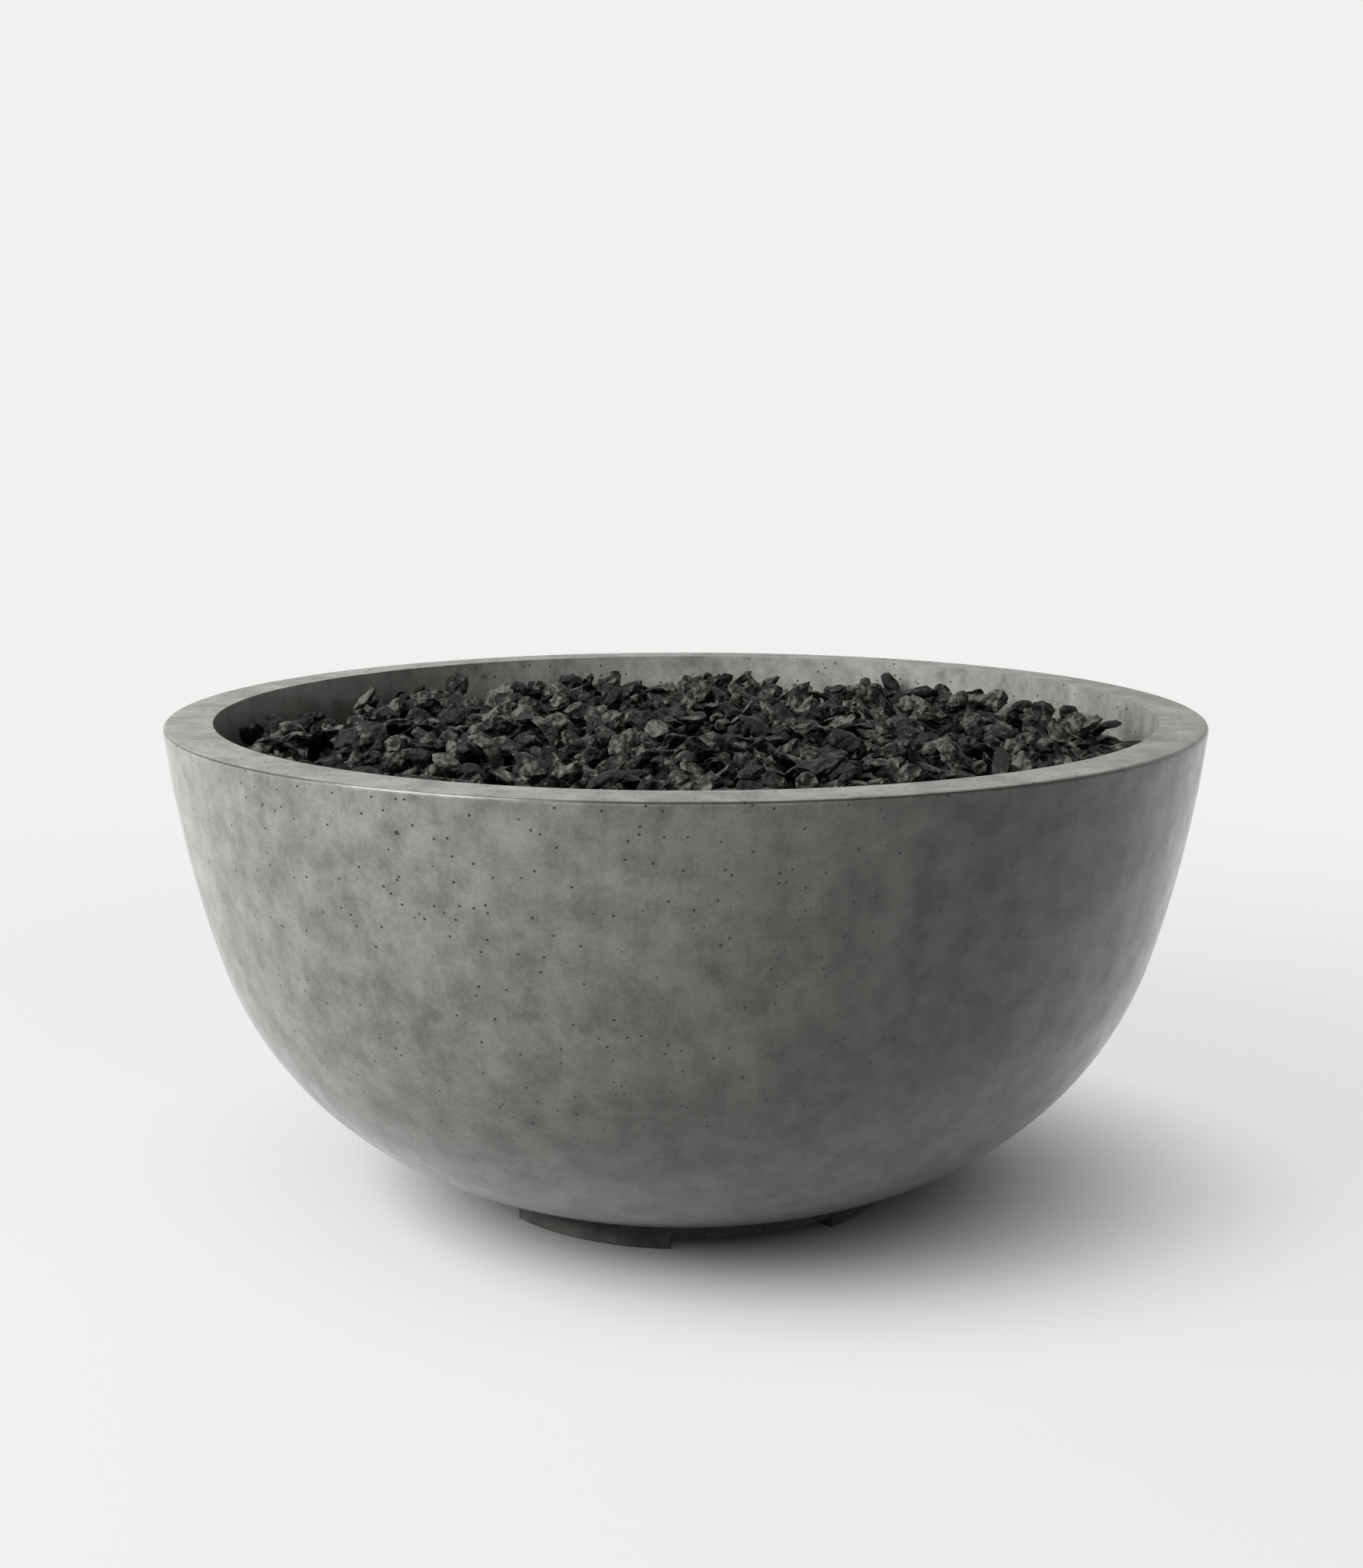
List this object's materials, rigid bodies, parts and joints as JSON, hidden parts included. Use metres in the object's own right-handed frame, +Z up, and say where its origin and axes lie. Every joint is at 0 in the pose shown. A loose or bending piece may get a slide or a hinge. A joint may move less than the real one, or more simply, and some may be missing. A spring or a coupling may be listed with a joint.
{
  "type": "gas fire pit bowl",
  "caption": "Round cast concrete fire bowl on a notched foot ring, with lava stones over a lift-out gas burner tray and a key valve in the rear wall.",
  "frame": {"origin": "on the ground, under the centre of the bowl", "axes": "+Z up, -Y towards the front that the picture shows, +Y towards the key valve in the rear wall"},
  "size_m": [0.736, 0.736, 0.3501],
  "materials": {
    "concrete": "satin",
    "lava_stone": "matte",
    "stainless": "satin",
    "black_iron": "matte",
    "zinc_steel": "satin",
    "brass": "satin",
    "satin_nickel": "satin",
    "seat_plastic": "matte",
    "seal_rubber": "matte",
    "grey_plastic": "matte"
  },
  "bodies": {
    "bowl": {"bowl_shell": "concrete", "foot_ring": "concrete", "base_sleeve": "grey_plastic", "valve_body": "brass", "valve_seats": "seat_plastic", "valve_end_piece": "brass", "packing_nut": "brass", "key_escutcheon": "satin_nickel", "sleeve_washer": "stainless", "sleeve_locknut": "zinc_steel", "burner_hose": "stainless", "hose_nut_valve_end": "brass", "hose_nut_mixer_end": "brass"},
    "key_stem": {"valve_ball": "brass", "valve_stem": "brass", "stem_o_rings": "seal_rubber"},
    "burner_tray": {"burner_pan": "stainless", "burner_ring": "stainless", "burner_nipple": "black_iron", "pan_washer": "stainless", "pan_locknut": "black_iron", "mixer_body": "black_iron", "mixer_inlet": "brass", "orifice": "brass", "lava_rocks_lower": "lava_stone", "lava_rocks_top": "lava_stone"},
    "shutter": {"air_shutter": "zinc_steel", "shutter_screw": "zinc_steel"}
  },
  "joints": [
    {"name": "valve_turn", "type": "hinge", "parent": "bowl", "child": "key_stem", "pos_m": [0, 0.33947, 0.20011], "axis": [0, 0.9611, -0.2761], "range_deg": [0, 90]},
    {"name": "tray_lift", "type": "slide", "parent": "bowl", "child": "burner_tray", "axis": [0, 0, 1], "range_m": [0, 0.23]},
    {"name": "shutter_turn", "type": "hinge", "parent": "burner_tray", "child": "shutter", "pos_m": [0, 0, 0.18], "axis": [0, 0, 1], "range_deg": [0, 45]}
  ]
}
